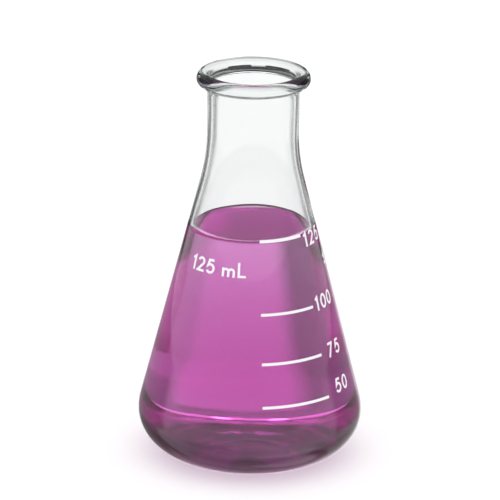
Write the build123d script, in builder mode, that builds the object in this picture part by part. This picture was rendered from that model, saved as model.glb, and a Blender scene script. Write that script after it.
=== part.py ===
from build123d import *
import math
import os

# 125 mL narrow-mouth Erlenmeyer flask, millimetres, +Z up.
# Origin: centre of the resting ring, on the surface that the flask stands on.
# Front of the flask is -Y. An azimuth of 0 is the front and grows towards +X.

# ---------------------------------------------------------------- driving dimensions
BODY_R = 32.0            # widest outside radius of the conical body
WALL = 1.5               # blown wall, from the widest point up to the neck
CONE_DEG = 14.44         # slope of the cone, measured from the vertical
CORNER_Z = 12.9          # height of the widest point
CORNER_RX = 14.3         # heel curve, half axis along the radius
UPPER_R = 15.7           # arc from the widest point to the straight cone
FOOT_IN_R = 15.4         # inner edge of the flat resting ring
PUSH_UP = 1.9            # rise of the underside at the centre
FLOOR_CENTRE_Z = 4.4     # top of the floor at the centre
FLOOR_EDGE_Z = 3.0       # top of the floor where the heel curve starts
FLOOR_EDGE_R = 16.9
NECK_R = 13.0            # outside of the neck
SHOULDER_R = 54.4        # long concave sweep from the cone to the neck
BEAD_R = 14.02           # centre circle of the fire-polished bead
BEAD_Z = 111.3
BEAD_T = 2.07            # half thickness of the bead
BEAD_FILLET = 0.5        # crease under the bead
BORE_TOP_Z = 107.0       # top of the straight bore, under the flared mouth

LIQUID_Z = 67.4          # level of the flat part of the liquid surface
MENISCUS_TOP_Z = 68.6    # height to which the liquid climbs the wall
MENISCUS_R = 13.6        # radius at which the surface turns flat

ENAMEL = 0.08            # fired enamel, thickness on the glass
LINE_W = 0.8             # width of a graduation line along the slope
LINE_W_TOP = 0.92        # the nominal-volume line is a little heavier
LINE_START, LINE_END = 7.0, 48.6      # azimuths of the graduation lines
CAP_H = 4.25             # height of the numerals
STROKE = 0.68            # stroke width of the numerals

# ---------------------------------------------------------------- derived points
al = math.radians(CONE_DEG)
sin_a, cos_a, tan_a = math.sin(al), math.cos(al), math.tan(al)
upper_c = BODY_R - UPPER_R                                  # centre of the upper arc
foot_r = BODY_R - CORNER_RX                                 # outer edge of the resting ring
cone_r0, cone_z0 = upper_c + UPPER_R * cos_a, CORNER_Z + UPPER_R * sin_a
cone_r1 = NECK_R + SHOULDER_R * (1 - cos_a)
cone_z1 = cone_z0 + (cone_r0 - cone_r1) / tan_a
neck_z = cone_z1 + SHOULDER_R * sin_a                       # the neck is straight above this
bore_r = NECK_R - WALL
mouth_r = BEAD_R - BEAD_T


def cone_radius(z):
    """Outside radius of the straight cone at height z."""
    return cone_r0 - (z - cone_z0) * tan_a


def inner_radius(z):
    """Inside radius of the straight cone at height z."""
    return cone_radius(z) - WALL / cos_a


# inner counterparts, parallel to the outside
in_r0, in_z0 = upper_c + (UPPER_R - WALL) * cos_a, CORNER_Z + (UPPER_R - WALL) * sin_a
in_r1 = NECK_R + SHOULDER_R - (SHOULDER_R + WALL) * cos_a
in_z1 = neck_z - (SHOULDER_R + WALL) * sin_a
in_max = upper_c + UPPER_R - WALL

# crease between neck and bead
crease_r = NECK_R + BEAD_FILLET
crease_d = BEAD_T + BEAD_FILLET
crease_z = BEAD_Z - math.sqrt(crease_d**2 - (crease_r - BEAD_R) ** 2)
touch_r = BEAD_R + BEAD_T * (crease_r - BEAD_R) / crease_d
touch_z = BEAD_Z + BEAD_T * (crease_z - BEAD_Z) / crease_d


def on_circle(cr, cz, radius, degrees):
    a = math.radians(degrees)
    return (cr + radius * math.cos(a), cz + radius * math.sin(a))


os.makedirs("parts", exist_ok=True)


def mid_of_flat_arc(p, q):
    """A point on the arc that leaves p level and ends at q."""
    (x0, y0), (x1, y1) = p, q
    dx, dy = x1 - x0, y1 - y0
    radius = (dx * dx + dy * dy) / (2 * dy)
    t = math.asin(dx / radius) / 2
    return (x0 + radius * math.sin(t), y0 + radius * (1 - math.cos(t)))


def mid_of_upright_arc(p, q):
    """A point on the arc that leaves p upright and ends at q."""
    (x0, y0), (x1, y1) = p, q
    dx, dy = x1 - x0, y1 - y0
    radius = (dx * dx + dy * dy) / (2 * dx)
    t = math.asin(dy / radius) / 2
    return (x0 + radius * (1 - math.cos(t)), y0 + radius * math.sin(t))


# underside push-up: level at the centre and level again where it meets the resting ring
under_c, under_e = (0.0, PUSH_UP), (FOOT_IN_R, 0.0)
under_m = ((under_c[0] + under_e[0]) / 2, (under_c[1] + under_e[1]) / 2)
# floor inside: the same double curve
floor_c, floor_e = (0.0, FLOOR_CENTRE_Z), (FLOOR_EDGE_R, FLOOR_EDGE_Z)
floor_m = ((floor_c[0] + floor_e[0]) / 2, (floor_c[1] + floor_e[1]) / 2)
# flared mouth: upright at the bore and upright again at the bead
flare_a, flare_b = (bore_r, BORE_TOP_Z), (mouth_r, BEAD_Z)
flare_m = ((flare_a[0] + flare_b[0]) / 2, (flare_a[1] + flare_b[1]) / 2)


# ---------------------------------------------------------------- the blown glass
with BuildPart() as glass_body:
    with BuildSketch(Plane.XZ):
        with BuildLine():
            # underside
            ThreePointArc(under_c, mid_of_flat_arc(under_c, under_m), under_m)
            ThreePointArc(under_m, mid_of_flat_arc(under_e, under_m), under_e)
            Line(under_e, (foot_r, 0))
            # heel, from the resting ring to the widest point
            EllipticalCenterArc((foot_r, CORNER_Z), CORNER_RX, CORNER_Z, start_angle=270, arc_size=90)
            ThreePointArc(
                (BODY_R, CORNER_Z),
                on_circle(upper_c, CORNER_Z, UPPER_R, CONE_DEG / 2),
                (cone_r0, cone_z0),
            )
            # cone, shoulder and neck
            Line((cone_r0, cone_z0), (cone_r1, cone_z1))
            ThreePointArc(
                (cone_r1, cone_z1),
                on_circle(NECK_R + SHOULDER_R, neck_z, SHOULDER_R, 180 + CONE_DEG / 2),
                (NECK_R, neck_z),
            )
            Line((NECK_R, neck_z), (NECK_R, crease_z))
            # crease under the bead, then the bead over the top to the mouth
            half = math.degrees(math.atan2(touch_z - crease_z, touch_r - crease_r)) / 2 + 90
            ThreePointArc(
                (NECK_R, crease_z),
                on_circle(crease_r, crease_z, BEAD_FILLET, half),
                (touch_r, touch_z),
            )
            ThreePointArc((touch_r, touch_z), (BEAD_R + BEAD_T, BEAD_Z), (BEAD_R, BEAD_Z + BEAD_T))
            ThreePointArc(
                (BEAD_R, BEAD_Z + BEAD_T),
                on_circle(BEAD_R, BEAD_Z, BEAD_T, 135),
                (mouth_r, BEAD_Z),
            )
            # flare down to the straight bore
            ThreePointArc(flare_b, mid_of_upright_arc(flare_b, flare_m), flare_m)
            ThreePointArc(flare_m, mid_of_upright_arc(flare_a, flare_m), flare_a)
            Line(flare_a, (bore_r, neck_z))
            # inside of the shoulder, cone and heel
            ThreePointArc(
                (bore_r, neck_z),
                on_circle(NECK_R + SHOULDER_R, neck_z, SHOULDER_R + WALL, 180 + CONE_DEG / 2),
                (in_r1, in_z1),
            )
            Line((in_r1, in_z1), (in_r0, in_z0))
            ThreePointArc(
                (in_r0, in_z0),
                on_circle(upper_c, CORNER_Z, UPPER_R - WALL, CONE_DEG / 2),
                (in_max, CORNER_Z),
            )
            EllipticalCenterArc(
                (FLOOR_EDGE_R, CORNER_Z),
                in_max - FLOOR_EDGE_R,
                CORNER_Z - FLOOR_EDGE_Z,
                start_angle=270,
                arc_size=90,
            )
            # floor
            ThreePointArc(floor_e, mid_of_flat_arc(floor_e, floor_m), floor_m)
            ThreePointArc(floor_m, mid_of_flat_arc(floor_c, floor_m), floor_c)
            Line(floor_c, under_c)
        make_face()
    revolve(axis=Axis.Z)
glass_body.part.label = "glass_body"
export_step(glass_body.part, "parts/glass_body.step")


# ---------------------------------------------------------------- the contents
contact_r = inner_radius(MENISCUS_TOP_Z)
with BuildPart() as liquid:
    with BuildSketch(Plane.XZ):
        with BuildLine():
            ThreePointArc(floor_c, mid_of_flat_arc(floor_c, floor_m), floor_m)
            ThreePointArc(floor_m, mid_of_flat_arc(floor_e, floor_m), floor_e)
            EllipticalCenterArc(
                (FLOOR_EDGE_R, CORNER_Z),
                in_max - FLOOR_EDGE_R,
                CORNER_Z - FLOOR_EDGE_Z,
                start_angle=270,
                arc_size=90,
            )
            ThreePointArc(
                (in_max, CORNER_Z),
                on_circle(upper_c, CORNER_Z, UPPER_R - WALL, CONE_DEG / 2),
                (in_r0, in_z0),
            )
            Line((in_r0, in_z0), (contact_r, MENISCUS_TOP_Z))
            # curved meniscus, level where it meets the flat surface
            ThreePointArc(
                (contact_r, MENISCUS_TOP_Z),
                mid_of_flat_arc((MENISCUS_R, LIQUID_Z), (contact_r, MENISCUS_TOP_Z)),
                (MENISCUS_R, LIQUID_Z),
            )
            Line((MENISCUS_R, LIQUID_Z), (0, LIQUID_Z))
            Line((0, LIQUID_Z), floor_c)
        make_face()
    revolve(axis=Axis.Z)
liquid.part.label = "liquid"
export_step(liquid.part, "parts/liquid.step")


# ---------------------------------------------------------------- fired enamel markings
# A thin conical skin on the outside of the cone. Every numeral is cut from it.
SKIN_Z0, SKIN_Z1 = 19.0, 79.0
with BuildPart() as enamel_skin:
    with BuildSketch(Plane.XZ):
        with BuildLine():
            Polyline(
                (cone_radius(SKIN_Z0), SKIN_Z0),
                (cone_radius(SKIN_Z0) + ENAMEL * cos_a, SKIN_Z0 + ENAMEL * sin_a),
                (cone_radius(SKIN_Z1) + ENAMEL * cos_a, SKIN_Z1 + ENAMEL * sin_a),
                (cone_radius(SKIN_Z1), SKIN_Z1),
                close=True,
            )
        make_face()
    revolve(axis=Axis.Z)


def radial_plane(azimuth):
    """Upright plane through the axis: local x runs outwards, local y runs up."""
    a = math.radians(azimuth - 90)
    return Plane(origin=(0, 0, 0), x_dir=(math.cos(a), math.sin(a), 0), z_dir=(math.sin(a), -math.cos(a), 0))


def cone_plane(azimuth, z):
    """Plane touching the outside of the cone: local x runs round to the right, local y runs up the slope."""
    a = math.radians(azimuth - 90)
    r = cone_radius(z)
    return Plane(
        origin=(r * math.cos(a), r * math.sin(a), z),
        x_dir=(-math.sin(a), math.cos(a), 0),
        z_dir=(cos_a * math.cos(a), cos_a * math.sin(a), sin_a),
    )


def graduation(name, z, width, start=LINE_START, end=LINE_END):
    """One graduation line: a band of enamel round part of the cone, centred at height z."""
    with BuildPart() as line:
        with BuildSketch(radial_plane(start)):
            with BuildLine():
                lo, hi = z - width / 2 * cos_a, z + width / 2 * cos_a
                Polyline(
                    (cone_radius(lo), lo),
                    (cone_radius(lo) + ENAMEL * cos_a, lo + ENAMEL * sin_a),
                    (cone_radius(hi) + ENAMEL * cos_a, hi + ENAMEL * sin_a),
                    (cone_radius(hi), hi),
                    close=True,
                )
            make_face()
        revolve(axis=Axis.Z, revolution_arc=end - start)
    line.part.label = name
    export_step(line.part, f"parts/{name}.step")
    return line


# Strokes of each character as centre lines, with the baseline at y = 0 and the middle at x = 0.
def strokes(char):
    w, h = STROKE, CAP_H
    b, t = w / 2, h - w / 2
    if char == "1":
        return [lambda: Polyline((-0.72, t - 0.72), (0.2, t - 0.04), (0.2, 0))]
    if char == "2":
        r = 0.98
        cy = t - r
        a0 = 165
        start = (r * math.cos(math.radians(a0)), cy + r * math.sin(math.radians(a0)))
        a1 = -38
        end = (r * math.cos(math.radians(a1)), cy + r * math.sin(math.radians(a1)))

        def two():
            ThreePointArc(start, (r * math.cos(math.radians(63)), cy + r * math.sin(math.radians(63))), end)
            Polyline(end, (-1.02, b), (1.28, b))

        return [two]
    if char == "5":
        r = 1.16
        cy = b + r
        a0 = 128
        p = (r * math.cos(math.radians(a0)) - 0.05, cy + r * math.sin(math.radians(a0)))
        a1 = -152
        q = (r * math.cos(math.radians(a1)), cy + r * math.sin(math.radians(a1)))

        def five():
            Polyline((1.08, t), (-0.42, t), p)
            ThreePointArc(p, (r * math.cos(math.radians(-12)), cy + r * math.sin(math.radians(-12))), q)

        return [five]
    if char == "7":
        return [lambda: Polyline((-1.0, t), (1.0, t), (-0.78, 0))]
    if char == "L":
        return [lambda: Polyline((-0.84, h), (-0.84, b), (1.16, b))]
    if char == "m":
        r, x = 0.8, 0.6 * h
        cy = x - w / 2 - r

        def arch(cx):
            def build():
                ThreePointArc((cx - r, cy), (cx, cy + r), (cx + r, cy))
                Line((cx + r, cy), (cx + r, 0))

            return build

        return [lambda: Line((-2 * r, 0), (-2 * r, x)), arch(-r), arch(r)]
    raise ValueError(char)


def draw(char):
    """Adds one character to the open sketch."""
    w, h = STROKE, CAP_H
    if char == "0":
        with Locations((0, h / 2)):
            Ellipse(1.48, h / 2)
            Ellipse(1.48 - w, h / 2 - w, mode=Mode.SUBTRACT)
        return
    if char == "±":
        with Locations((0, 0.66 * h)):
            Rectangle(2.3, w)
            Rectangle(w, 2.3)
        with Locations((0, 0.16 * h)):
            Rectangle(2.3, w)
        return
    if char == "%":
        for cx, cy in ((-1.05, 0.76 * h), (1.05, 0.24 * h)):
            with Locations((cx, cy)):
                Circle(0.78)
                Circle(0.78 - 0.42, mode=Mode.SUBTRACT)
        with Locations((0, h / 2)):
            Rectangle(0.42, h * 1.05, rotation=-28)
        return
    for stroke in strokes(char):
        with BuildLine() as path:
            stroke()
        trace(path.line, line_width=w)


def lettering(name, z, letters):
    """A group of enamel characters: letters is a list of (character, azimuth), z the height of their middle."""
    with BuildPart() as group:
        for char, azimuth in letters:
            with BuildSketch(cone_plane(azimuth, z)) as flat:
                with BuildSketch(mode=Mode.PRIVATE) as glyph:
                    draw(char)
                add(glyph.sketch.moved(Location((0, -CAP_H / 2, 0))))
            extrude(amount=2.2, both=True)
        add(enamel_skin.part, mode=Mode.INTERSECT)
    group.part.label = name
    export_step(group.part, f"parts/{name}.step")
    return group


graduation("graduation_50", 23.55, LINE_W)
graduation("graduation_75", 35.4, LINE_W)
graduation("graduation_100", 48.9, LINE_W)
graduation("graduation_125", 68.9, LINE_W_TOP)

lettering("numeral_50", 25.4, [("5", 58.4), ("0", 66.0)])
lettering("numeral_75", 35.7, [("7", 57.9), ("5", 66.2)])
lettering("numeral_100", 49.3, [("1", 53.7), ("0", 61.6), ("0", 70.6)])
lettering("numeral_125", 67.3, [("1", 54.6), ("2", 64.1), ("5", 76.0)])
lettering("capacity_mark", 61.0, [("1", -52.0), ("2", -44.3), ("5", -34.8), ("m", -18.4), ("L", -7.5)])
lettering("tolerance_mark", 59.5, [("±", 82.6), ("5", 91.5), ("%", 101.5)])
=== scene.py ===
import math

import bpy
from mathutils import Matrix, Vector


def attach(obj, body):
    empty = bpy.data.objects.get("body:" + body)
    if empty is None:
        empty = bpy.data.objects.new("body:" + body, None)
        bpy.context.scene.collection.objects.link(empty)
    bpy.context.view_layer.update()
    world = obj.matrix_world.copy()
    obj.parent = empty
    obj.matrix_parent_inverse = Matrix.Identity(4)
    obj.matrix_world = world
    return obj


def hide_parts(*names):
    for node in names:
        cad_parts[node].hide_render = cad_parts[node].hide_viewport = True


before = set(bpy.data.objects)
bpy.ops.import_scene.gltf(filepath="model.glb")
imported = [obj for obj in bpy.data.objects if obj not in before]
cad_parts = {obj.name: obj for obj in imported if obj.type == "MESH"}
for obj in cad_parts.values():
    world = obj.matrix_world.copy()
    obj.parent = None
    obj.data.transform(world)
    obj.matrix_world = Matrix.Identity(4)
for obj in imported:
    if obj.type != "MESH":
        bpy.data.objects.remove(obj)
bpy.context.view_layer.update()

scene = bpy.context.scene
MM = 0.001

# ------------------------------------------------------------------ camera
# Seen from the front and 19 degrees above, through a long lens, with the flask leaning 0.7 degrees clockwise in view.
PITCH, DIST, AIM_Z, ROLL = 0.330, 1.1940, 0.0603, 0.0123
LENS_PX = 4201.0
cam_data = bpy.data.cameras.new("camera")
cam = bpy.data.objects.new("camera", cam_data)
scene.collection.objects.link(cam)
cam_data.sensor_fit = "HORIZONTAL"
cam_data.sensor_width = 36.0
cam_data.lens = LENS_PX / 500.0 * 36.0
cam_data.clip_start, cam_data.clip_end = 0.01, 50.0
fwd = Vector((0, math.cos(PITCH), -math.sin(PITCH)))
up = Vector((0, math.sin(PITCH), math.cos(PITCH)))
right = Vector((1, 0, 0))
# the view leans the other way from the flask
up_l = up * math.cos(ROLL) - right * math.sin(ROLL)
right_l = right * math.cos(ROLL) + up * math.sin(ROLL)
look = Vector((0, 0, AIM_Z))
cam.location = look - fwd * DIST - right_l * (1.6 / LENS_PX * DIST)
cam.rotation_mode = "QUATERNION"
cam.rotation_quaternion = Matrix((right_l, up_l, -fwd)).transposed().to_quaternion()
scene.camera = cam

scene.view_settings.view_transform = "Standard"
scene.view_settings.look = "None"
scene.cycles.max_bounces = 160
scene.cycles.transmission_bounces = 160
scene.cycles.glossy_bounces = 96
scene.cycles.transparent_max_bounces = 16
scene.cycles.use_denoising = True

# ------------------------------------------------------------------ the flask's outline, mm, as in the CAD model
BODY_R, WALL, CONE = 32.0, 1.5, math.radians(14.44)
CORNER_Z, CORNER_RX, UPPER_R = 12.9, 14.3, 15.7
FOOT_IN_R, PUSH_UP = 15.4, 1.9
FLOOR_CENTRE_Z, FLOOR_EDGE_Z, FLOOR_EDGE_R = 4.4, 3.0, 16.9
NECK_R, SHOULDER_R = 13.0, 54.4
BEAD_R, BEAD_Z, BEAD_T, BEAD_FILLET, BORE_TOP_Z = 14.02, 111.3, 2.07, 0.5, 107.0
LIQUID_Z, MENISCUS_TOP_Z, MENISCUS_R = 67.4, 68.6, 13.6
ENAMEL = 0.08

sin_a, cos_a, tan_a = math.sin(CONE), math.cos(CONE), math.tan(CONE)
upper_c = BODY_R - UPPER_R
foot_r = BODY_R - CORNER_RX
cone_r0, cone_z0 = upper_c + UPPER_R * cos_a, CORNER_Z + UPPER_R * sin_a
cone_r1 = NECK_R + SHOULDER_R * (1 - cos_a)
cone_z1 = cone_z0 + (cone_r0 - cone_r1) / tan_a
neck_z = cone_z1 + SHOULDER_R * sin_a
bore_r, mouth_r = NECK_R - WALL, BEAD_R - BEAD_T
in_r0, in_z0 = upper_c + (UPPER_R - WALL) * cos_a, CORNER_Z + (UPPER_R - WALL) * sin_a
in_r1 = NECK_R + SHOULDER_R - (SHOULDER_R + WALL) * cos_a
in_z1 = neck_z - (SHOULDER_R + WALL) * sin_a
in_max = upper_c + UPPER_R - WALL
crease_r, crease_d = NECK_R + BEAD_FILLET, BEAD_T + BEAD_FILLET
crease_z = BEAD_Z - math.sqrt(crease_d**2 - (crease_r - BEAD_R) ** 2)


def cone_radius(z):
    return cone_r0 - (z - cone_z0) * tan_a


def arc(cr, cz, rx, rz, a0, a1, n):
    """n points along an arc, its first point left out."""
    out = []
    for i in range(1, n + 1):
        a = math.radians(a0 + (a1 - a0) * i / n)
        out.append((cr + rx * math.cos(a), cz + rz * math.sin(a)))
    return out


def line(p, q, n):
    return [(p[0] + (q[0] - p[0]) * i / n, p[1] + (q[1] - p[1]) * i / n) for i in range(1, n + 1)]


def s_bend(p, q, n):
    """A soft double curve from p to q, level at both ends, its first point left out."""
    return [
        (p[0] + (q[0] - p[0]) * t, p[1] + (q[1] - p[1]) * (t * t * (3 - 2 * t)))
        for t in (i / n for i in range(1, n + 1))
    ]


def s_bend_upright(p, q, n):
    """The same, upright at both ends."""
    return [
        (p[0] + (q[0] - p[0]) * (t * t * (3 - 2 * t)), p[1] + (q[1] - p[1]) * t)
        for t in (i / n for i in range(1, n + 1))
    ]


def inner_wall(top_z=None):
    """The inside, from the middle of the floor up to the end of the cone, or to top_z on the cone."""
    pts = [(0.0, FLOOR_CENTRE_Z)]
    pts += s_bend(pts[-1], (FLOOR_EDGE_R, FLOOR_EDGE_Z), 26)
    pts += arc(FLOOR_EDGE_R, CORNER_Z, in_max - FLOOR_EDGE_R, CORNER_Z - FLOOR_EDGE_Z, 270, 360, 40)
    pts += arc(upper_c, CORNER_Z, UPPER_R - WALL, UPPER_R - WALL, 0, math.degrees(CONE), 10)
    if top_z is None:
        return pts + line(pts[-1], (in_r1, in_z1), 60)
    r = cone_radius(top_z) - WALL / cos_a
    return pts + line(pts[-1], (r, top_z), 50)


def revolve(name, pts, steps, wobble=None):
    """A closed mesh turned from an outline whose two ends are on the axis. wobble(radius, z, azimuth) gives a small shift along the radius."""
    verts, faces, rings = [], [], []
    for r, z in pts:
        if r < 1e-9:
            rings.append([len(verts)])
            verts.append((0.0, 0.0, z * MM))
            continue
        ring = []
        for k in range(steps):
            a = 2 * math.pi * k / steps
            d = wobble(r, z, a) if wobble else 0.0
            ring.append(len(verts))
            verts.append(((r + d) * math.cos(a) * MM, (r + d) * math.sin(a) * MM, z * MM))
        rings.append(ring)
    for a, b in zip(rings, rings[1:]):
        for k in range(steps):
            j = (k + 1) % steps
            if len(a) == 1:
                faces.append((a[0], b[j], b[k]))
            elif len(b) == 1:
                faces.append((a[k], a[j], b[0]))
            else:
                faces.append((a[k], a[j], b[j], b[k]))
    mesh = bpy.data.meshes.new(name)
    mesh.from_pydata(verts, [], faces)
    mesh.validate()
    for p in mesh.polygons:
        p.use_smooth = True
    ob = bpy.data.objects.new(name, mesh)
    scene.collection.objects.link(ob)
    return ob


def fair(z):
    """Fades the blown unevenness out towards the foot, below 14 mm."""
    return max(0.0, min(1.0, z / 14.0))


def inside_wobble(r, z, a):
    """The inside of blown glass is never quite round: the wall runs a little thick and thin."""
    w = 0.045 * math.sin(2 * a + 0.7 + 0.03 * z) + 0.03 * math.sin(3 * a - 0.05 * z + 2.1)
    w += 0.02 * math.sin(5 * a + 0.11 * z) * math.sin(0.16 * z + 0.4)
    return w * fair(z)


# ------------------------------------------------------------------ glass
outline = [(0.0, PUSH_UP)]
outline += s_bend(outline[-1], (FOOT_IN_R, 0.0), 24)
outline += line(outline[-1], (foot_r, 0.0), 3)
outline += arc(foot_r, CORNER_Z, CORNER_RX, CORNER_Z, 270, 360, 44)
outline += arc(upper_c, CORNER_Z, UPPER_R, UPPER_R, 0, math.degrees(CONE), 10)
outline += line(outline[-1], (cone_r1, cone_z1), 60)
outline += arc(NECK_R + SHOULDER_R, neck_z, SHOULDER_R, SHOULDER_R, 180 + math.degrees(CONE), 180, 24)
outline += line(outline[-1], (NECK_R, crease_z), 8)
half = math.degrees(math.atan2(BEAD_Z - crease_z, BEAD_R - crease_r))
outline += arc(crease_r, crease_z, BEAD_FILLET, BEAD_FILLET, 180, half, 6)
outline += arc(BEAD_R, BEAD_Z, BEAD_T, BEAD_T, half - 180, 180, 48)
outline += s_bend_upright(outline[-1], (bore_r, BORE_TOP_Z), 16)
outline += line(outline[-1], (bore_r, neck_z), 12)
outline += arc(NECK_R + SHOULDER_R, neck_z, SHOULDER_R + WALL, SHOULDER_R + WALL, 180, 180 + math.degrees(CONE), 24)
outline += list(reversed(inner_wall()))[1:]

glass = revolve("glass_body_blown", outline, 224)
# unevenness on the inside only, so that the enamel still lies on the outside
for v in glass.data.vertices:
    x, y, z = v.co / MM
    r = math.hypot(x, y)
    if r < 0.5:
        continue
    if z > neck_z:
        outer_here = NECK_R
    elif z > cone_z1:
        outer_here = NECK_R + SHOULDER_R - math.sqrt(SHOULDER_R**2 - (neck_z - z) ** 2)
    elif z > cone_z0:
        outer_here = cone_radius(z)
    else:
        continue
    if z < BORE_TOP_Z and r < outer_here - 0.7:
        d = inside_wobble(r, z, math.atan2(y, x)) * min(1.0, (z - cone_z0) / 6.0) * min(1.0, (BORE_TOP_Z - z) / 6.0)
        v.co = Vector((x * (r + d) / r, y * (r + d) / r, z)) * MM

# ------------------------------------------------------------------ solution
# It reaches 0.15 mm into the wall, so that no film of air shows between glass and solution.
SOAK = 0.15
wet = inner_wall(MENISCUS_TOP_Z)
soaked = []
for i, (r, z) in enumerate(wet):
    p, q = wet[max(i - 1, 0)], wet[min(i + 1, len(wet) - 1)]
    dr, dz = q[0] - p[0], q[1] - p[1]
    n = math.hypot(dr, dz)
    soaked.append((max(r + SOAK * dz / n, 0.0) if i else 0.0, z - SOAK * dr / n))
contact_r, contact_z = wet[-1]
# meniscus: steep at the wall, level further in
surface = []
for i in range(1, 33):
    t = i / 32
    r = contact_r + SOAK + (MENISCUS_R - 3.0 - contact_r - SOAK) * t
    depth = math.exp(-(contact_r + SOAK - r) / 1.35)
    end = math.exp(-(contact_r + SOAK - (MENISCUS_R - 3.0)) / 1.35)
    surface.append((r, LIQUID_Z + (MENISCUS_TOP_Z - LIQUID_Z) * (depth - end) / (1 - end)))
surface += line(surface[-1], (0.0, LIQUID_Z), 8)
liquid = revolve("liquid_solution", soaked + surface, 192)


# ------------------------------------------------------------------ materials
def nodes_of(name):
    m = bpy.data.materials.new(name)
    m.use_nodes = True
    nt = m.node_tree
    p = next(n for n in nt.nodes if n.type == "BSDF_PRINCIPLED")
    out = next(n for n in nt.nodes if n.type == "OUTPUT_MATERIAL")
    return m, nt, p, out


def put(nt, kind, **values):
    n = nt.nodes.new(kind)
    for k, v in values.items():
        if k in n.inputs:
            n.inputs[k].default_value = v
        else:
            setattr(n, k, v)
    return n


def glass_material():
    m, nt, p, out = nodes_of("clear_glass")
    p.inputs["Transmission Weight"].default_value = 1.0
    p.inputs["IOR"].default_value = 1.474
    # faint handling haze, in patches
    obj = put(nt, "ShaderNodeTexCoord")
    haze = put(nt, "ShaderNodeTexNoise", Scale=60.0, Detail=3.0, Roughness=0.6)
    nt.links.new(obj.outputs["Object"], haze.inputs["Vector"])
    rough = put(nt, "ShaderNodeMapRange")
    rough.inputs["From Min"].default_value = 0.52
    rough.inputs["From Max"].default_value = 0.8
    rough.inputs["To Min"].default_value = 0.0
    rough.inputs["To Max"].default_value = 0.02
    nt.links.new(haze.outputs["Fac"], rough.inputs["Value"])
    nt.links.new(rough.outputs["Result"], p.inputs["Roughness"])
    # a cool cast that varies very slightly
    tint = put(nt, "ShaderNodeMix", data_type="RGBA")
    tint.inputs[6].default_value = (0.985, 0.995, 0.99, 1)
    tint.inputs[7].default_value = (0.995, 1.0, 1.0, 1)
    nt.links.new(haze.outputs["Fac"], tint.inputs["Factor"])
    nt.links.new(tint.outputs[2], p.inputs["Base Color"])
    # drawn glass: long soft ripples up the wall
    mapping = put(nt, "ShaderNodeMapping")
    mapping.inputs["Scale"].default_value = (1.0, 1.0, 0.22)
    nt.links.new(obj.outputs["Object"], mapping.inputs["Vector"])
    ripple = put(nt, "ShaderNodeTexNoise", Scale=110.0, Detail=2.0, Roughness=0.45)
    nt.links.new(mapping.outputs["Vector"], ripple.inputs["Vector"])
    bump = put(nt, "ShaderNodeBump", Strength=0.06, Distance=0.001)
    nt.links.new(ripple.outputs["Fac"], bump.inputs["Height"])
    nt.links.new(bump.outputs["Normal"], p.inputs["Normal"])
    # the green-grey that thick glass shows edge on
    vol = put(nt, "ShaderNodeVolumeAbsorption")
    vol.inputs["Color"].default_value = (0.55, 0.72, 0.66, 1)
    vol.inputs["Density"].default_value = 30.0
    nt.links.new(vol.outputs["Volume"], out.inputs["Volume"])
    return m


def solution_material():
    m, nt, p, out = nodes_of("magenta_solution")
    p.inputs["Transmission Weight"].default_value = 1.0
    p.inputs["IOR"].default_value = 1.333
    p.inputs["Roughness"].default_value = 0.0
    obj = put(nt, "ShaderNodeTexCoord")
    swirl = put(nt, "ShaderNodeTexNoise", Scale=34.0, Detail=2.0, Roughness=0.4, Distortion=0.6)
    nt.links.new(obj.outputs["Object"], swirl.inputs["Vector"])
    tint = put(nt, "ShaderNodeMix", data_type="RGBA")
    tint.inputs[6].default_value = (1.0, 0.955, 0.99, 1)
    tint.inputs[7].default_value = (0.985, 0.985, 1.0, 1)
    nt.links.new(swirl.outputs["Fac"], tint.inputs["Factor"])
    # painted shade: the colour is made a little deeper low down, though the solution itself is one colour throughout
    place = put(nt, "ShaderNodeSeparateXYZ")
    nt.links.new(obj.outputs["Object"], place.inputs[0])
    depth = put(nt, "ShaderNodeMapRange")
    depth.inputs["From Min"].default_value = 0.062
    depth.inputs["From Max"].default_value = 0.034
    nt.links.new(place.outputs[2], depth.inputs["Value"])
    painted_low_shade = put(nt, "ShaderNodeMix", data_type="RGBA", blend_type="MULTIPLY")
    nt.links.new(depth.outputs["Result"], painted_low_shade.inputs["Factor"])
    nt.links.new(tint.outputs[2], painted_low_shade.inputs[6])
    painted_low_shade.inputs[7].default_value = (0.93, 0.60, 0.87, 1)
    nt.links.new(painted_low_shade.outputs[2], p.inputs["Base Color"])
    bump = put(nt, "ShaderNodeBump", Strength=0.02, Distance=0.001)
    nt.links.new(swirl.outputs["Fac"], bump.inputs["Height"])
    nt.links.new(bump.outputs["Normal"], p.inputs["Normal"])
    # clear magenta: the green is taken most, per metre
    vol = put(nt, "ShaderNodeVolumeAbsorption")
    take = SOLUTION_ABSORPTION
    top = max(take)
    vol.inputs["Color"].default_value = (*[1 - t / top * 0.98 for t in take], 1)
    vol.inputs["Density"].default_value = top / 0.98
    nt.links.new(vol.outputs["Volume"], out.inputs["Volume"])
    return m


SOLUTION_ABSORPTION = (8.5, 40.0, 13.0)


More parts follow.
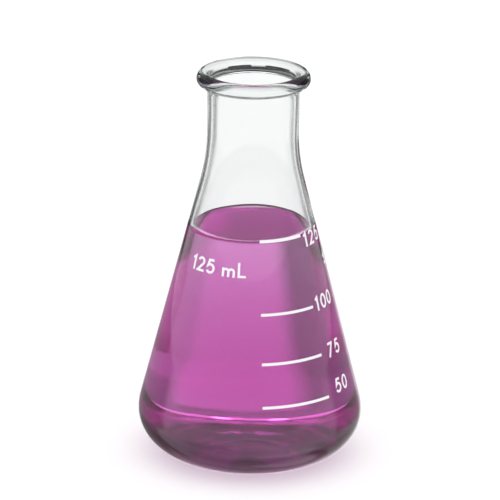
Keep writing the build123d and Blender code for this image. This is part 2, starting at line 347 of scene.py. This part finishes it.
def enamel_material():
    m, nt, p, out = nodes_of("fired_white_enamel")
    p.inputs["Specular IOR Level"].default_value = 0.5
    obj = put(nt, "ShaderNodeTexCoord")
    grain = put(nt, "ShaderNodeTexNoise", Scale=2600.0, Detail=4.0, Roughness=0.65)
    nt.links.new(obj.outputs["Object"], grain.inputs["Vector"])
    ramp = put(nt, "ShaderNodeMix", data_type="RGBA")
    ramp.inputs[6].default_value = (0.74, 0.72, 0.76, 1)
    ramp.inputs[7].default_value = (0.86, 0.85, 0.87, 1)
    nt.links.new(grain.outputs["Fac"], ramp.inputs["Factor"])
    nt.links.new(ramp.outputs[2], p.inputs["Base Color"])
    rough = put(nt, "ShaderNodeMapRange")
    rough.inputs["To Min"].default_value = 0.28
    rough.inputs["To Max"].default_value = 0.5
    nt.links.new(grain.outputs["Fac"], rough.inputs["Value"])
    nt.links.new(rough.outputs["Result"], p.inputs["Roughness"])
    bump = put(nt, "ShaderNodeBump", Strength=0.25, Distance=0.00004)
    nt.links.new(grain.outputs["Fac"], bump.inputs["Height"])
    nt.links.new(bump.outputs["Normal"], p.inputs["Normal"])
    return m


glass.data.materials.append(glass_material())
liquid.data.materials.append(solution_material())
enamel = enamel_material()
for name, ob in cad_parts.items():
    if name in ("glass_body", "liquid"):
        continue
    for s in ob.material_slots:
        s.material = enamel

for piece, node, slot in ((glass, "glass_body", "flask_glass"), (liquid, "liquid", "solution")):
    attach(piece, "root")
    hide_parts(node)

# ------------------------------------------------------------------ floor
floor_mesh = bpy.data.meshes.new("floor")
S = 6.0
floor_mesh.from_pydata([(-S, -S, -0.00005), (S, -S, -0.00005), (S, S, -0.00005), (-S, S, -0.00005)], [], [(0, 1, 2, 3)])
floor = bpy.data.objects.new("floor", floor_mesh)
scene.collection.objects.link(floor)
fm, nt, p, out = nodes_of("pale_floor")
p.inputs["Base Color"].default_value = (0.93, 0.93, 0.93, 1)
p.inputs["Roughness"].default_value = 0.8
p.inputs["Specular IOR Level"].default_value = 0.0
floor_mesh.materials.append(fm)
floor.visible_transmission = False
floor.visible_glossy = False
glass.visible_shadow = liquid.visible_shadow = False      # a light, open shadow

# ------------------------------------------------------------------ studio
world = bpy.data.worlds.new("studio")
scene.world = world
world.use_nodes = True
nt = world.node_tree
nt.nodes.clear()
out = nt.nodes.new("ShaderNodeOutputWorld")


def math_node(op, a, b=None, c=None):
    n = nt.nodes.new("ShaderNodeMath")
    n.operation = op
    for i, v in enumerate((a, b, c)):
        if v is None:
            continue
        if isinstance(v, (int, float)):
            n.inputs[i].default_value = v
        else:
            nt.links.new(v, n.inputs[i])
    return n.outputs[0]


def smooth(value, lo, hi):
    """0 below lo, 1 above hi, soft between; the other way round if lo > hi."""
    n = nt.nodes.new("ShaderNodeMapRange")
    n.interpolation_type = "SMOOTHSTEP"
    nt.links.new(value, n.inputs["Value"])
    n.inputs["From Min"].default_value, n.inputs["From Max"].default_value = min(lo, hi), max(lo, hi)
    n.inputs["To Min"].default_value, n.inputs["To Max"].default_value = (0.0, 1.0) if lo < hi else (1.0, 0.0)
    return n.outputs["Result"]


tc = nt.nodes.new("ShaderNodeTexCoord")
sep = nt.nodes.new("ShaderNodeSeparateXYZ")
nt.links.new(tc.outputs["Generated"], sep.inputs[0])
x, y, z = sep.outputs
deg = 180 / math.pi
az = math_node("MULTIPLY", math_node("ARCTAN2", x, y), deg)      # 0 behind the flask, +90 to its right, 180 behind the camera
el = math_node("MULTIPLY", math_node("ARCSINE", z), deg)


def card(under, colour, az_range, el_range, az_soft=6.0, el_soft=4.0, amount=1.0):
    """Lays a soft-edged card over the colour below it. Ranges are in degrees; None is all the way round."""
    fac = None
    for value, rng, soft in ((az, az_range, az_soft), (el, el_range, el_soft)):
        if rng is None:
            continue
        for edge, sign in ((rng[0], 1), (rng[1], -1)):
            if edge is None:
                continue
            part = smooth(value, edge - sign * soft / 2, edge + sign * soft / 2)
            fac = part if fac is None else math_node("MULTIPLY", fac, part)
    if amount != 1.0:
        fac = math_node("MULTIPLY", fac, amount)
    n = nt.nodes.new("ShaderNodeMix")
    n.data_type = "RGBA"
    nt.links.new(fac, n.inputs["Factor"])
    if isinstance(under, tuple):
        n.inputs[6].default_value = (*under, 1)
    else:
        nt.links.new(under, n.inputs[6])
    n.inputs[7].default_value = (*colour, 1)
    return n.outputs[2]


def grey(v):
    return (v, v, v)


# every card is white, grey or black
WHITE, PALE, MID, DARK, TUBE = grey(1.0), grey(0.70), grey(0.42), grey(0.20), grey(10.0)
room = WHITE
# the white sweep is a little dimmer near the flask
room = card(room, grey(0.91), None, (None, -31), el_soft=4)
# a pale wall on one side, deeper low down, and a darker one on the other
room = card(room, PALE, (24, 78), (-62, 6), 10, 8)
room = card(room, MID, (22, 96), (-62, -46), 10, 3)
room = card(room, grey(0.31), (-66, -15), (-62, 6), 12, 8)
room = card(room, MID, (26, 80), (-21, 8), 10, 5)
room = card(room, MID, (-80, -22), (-21, 8), 10, 5)
# far edge of the table
room = card(room, grey(0.46), (-24, 24), (-8, 3), 8, 4)
# low window of light behind, dusk above it, and the lamps that glint in the heel
room = card(room, grey(2.1), (-42, 42), (2, 13), 14, 3)
room = card(room, DARK, (-60, 60), (14, 50), 16, 4)
room = card(room, TUBE, (5, 10), (3, 10), 2, 2)
room = card(room, TUBE, (-10, -5), (3, 10), 2, 2)
# side walls above the table, and nearer the camera
room = card(room, grey(0.62), (60, 112), (14, 50), 16, 8)
room = card(room, grey(0.50), (-112, -60), (14, 50), 16, 8)
room = card(room, grey(1.10), (96, 162), (-64, -29), 26, 10)
room = card(room, grey(0.66), (-162, -100), (-58, -29), 26, 10)
room = card(room, grey(1.18), (118, 220), (2, 46), 10, 6)
room = card(room, grey(1.18), (-220, -118), (2, 46), 10, 6)
# overhead soft light, dark towards the camera
room = card(room, grey(1.65), (-105, 105), (56, None), 14, 8)
room = card(room, DARK, (112, 220), (48, None), 14, 6)
room = card(room, DARK, (-220, -112), (48, None), 14, 6)
# the table close in
room = card(room, grey(0.78), None, (None, -57), el_soft=6)
room = card(room, grey(0.55), (-56, 42), (-76, -46), 12, 6)
room = card(room, grey(1.2), (45, 112), (None, -54), 34, 6)
# two strip lights, high behind
room = card(room, grey(5.0), (4, 16), (47, 60), 2, 3)
room = card(room, grey(5.0), (-16, -4), (47, 60), 2, 3)
seen = nt.nodes.new("ShaderNodeBackground")
nt.links.new(room, seen.inputs["Color"])
plain = nt.nodes.new("ShaderNodeBackground")
plain.inputs["Color"].default_value = (1, 1, 1, 1)
plain.inputs["Strength"].default_value = 1.22
lp = nt.nodes.new("ShaderNodeLightPath")
through = math_node("MAXIMUM", lp.outputs["Is Transmission Ray"], lp.outputs["Is Glossy Ray"])
choose = nt.nodes.new("ShaderNodeMixShader")
nt.links.new(through, choose.inputs[0])
nt.links.new(plain.outputs[0], choose.inputs[1])
nt.links.new(seen.outputs[0], choose.inputs[2])
nt.links.new(choose.outputs[0], out.inputs["Surface"])

# ------------------------------------------------------------------ flags, seen only through and in the glass
def flag(name, radius, az_lo, az_hi, z_lo, z_hi, colour, fade=0.0):
    """An upright strip of cloth round the flask, in metres and degrees behind it. fade softens its upright edges, in degrees."""
    n = 24
    verts, faces = [], []
    for k in range(n + 1):
        a = math.radians(az_lo + (az_hi - az_lo) * k / n)
        for h in (z_lo, z_hi):
            verts.append((radius * math.sin(a), radius * math.cos(a), h))
    for k in range(n):
        faces.append((2 * k, 2 * k + 2, 2 * k + 3, 2 * k + 1))
    mesh = bpy.data.meshes.new(name)
    mesh.from_pydata(verts, [], faces)
    ob = bpy.data.objects.new(name, mesh)
    scene.collection.objects.link(ob)
    m, t, p, o = nodes_of(name + "_cloth")
    p.inputs["Base Color"].default_value = (*colour, 1)
    p.inputs["Roughness"].default_value = 1.0
    p.inputs["Specular IOR Level"].default_value = 0.0
    if fade:
        where = put(t, "ShaderNodeTexCoord")
        parts = put(t, "ShaderNodeSeparateXYZ")
        t.links.new(where.outputs["Object"], parts.inputs[0])
        angle = put(t, "ShaderNodeMath", operation="ARCTAN2")
        t.links.new(parts.outputs[0], angle.inputs[0])
        t.links.new(parts.outputs[1], angle.inputs[1])
        alpha = None
        for edge, sign in ((az_lo, 1), (az_hi, -1)):
            soft = put(t, "ShaderNodeMapRange", interpolation_type="SMOOTHSTEP")
            e0, e1 = math.radians(edge), math.radians(edge + sign * fade)
            soft.inputs["From Min"].default_value, soft.inputs["From Max"].default_value = min(e0, e1), max(e0, e1)
            soft.inputs["To Min"].default_value, soft.inputs["To Max"].default_value = (0.0, 1.0) if sign > 0 else (1.0, 0.0)
            t.links.new(angle.outputs[0], soft.inputs["Value"])
            if alpha is None:
                alpha = soft.outputs["Result"]
            else:
                both = put(t, "ShaderNodeMath", operation="MULTIPLY")
                t.links.new(alpha, both.inputs[0])
                t.links.new(soft.outputs["Result"], both.inputs[1])
                alpha = both.outputs[0]
        t.links.new(alpha, p.inputs["Alpha"])
    mesh.materials.append(m)
    ob.visible_camera = ob.visible_diffuse = ob.visible_shadow = False
    return ob


flags = [
    flag("flag_surface", 0.200, -30, 30, 0.121, 0.165, grey(0.03)),          # mirrored by the top of the solution
    flag("flag_rim", 0.060, -42, 42, 0.1075, 0.128, grey(0.013), 6.0),      # draws the back of the rim
    flag("veil_rim", 0.061, -118, 118, 0.128, 0.190, grey(0.42)),            # grey above it
    flag("flag_lip_left", 0.060, -12, -1, 0.1015, 0.1075, grey(0.013)),     # and the dark patches in its front
    flag("flag_lip_right", 0.060, 5, 20, 0.1015, 0.1075, grey(0.013)),
    flag("flag_rim_left", 0.060, -118, -46, 0.1045, 0.136, grey(0.11), 10.0),      # keep the ends of the rim grey
    flag("flag_rim_right", 0.060, 46, 118, 0.1045, 0.136, grey(0.11), 10.0),
    flag("flag_left", 0.150, 16, 45, 0.028, 0.076, grey(0.07), 12.0),        # draw the edges of the neck
    flag("flag_right", 0.150, -45, -14, 0.028, 0.076, grey(0.08), 12.0),
    flag("sweep_neck", 0.155, 40, 320, 0.026, 0.080, grey(0.82)),            # white round the neck from every other side
]
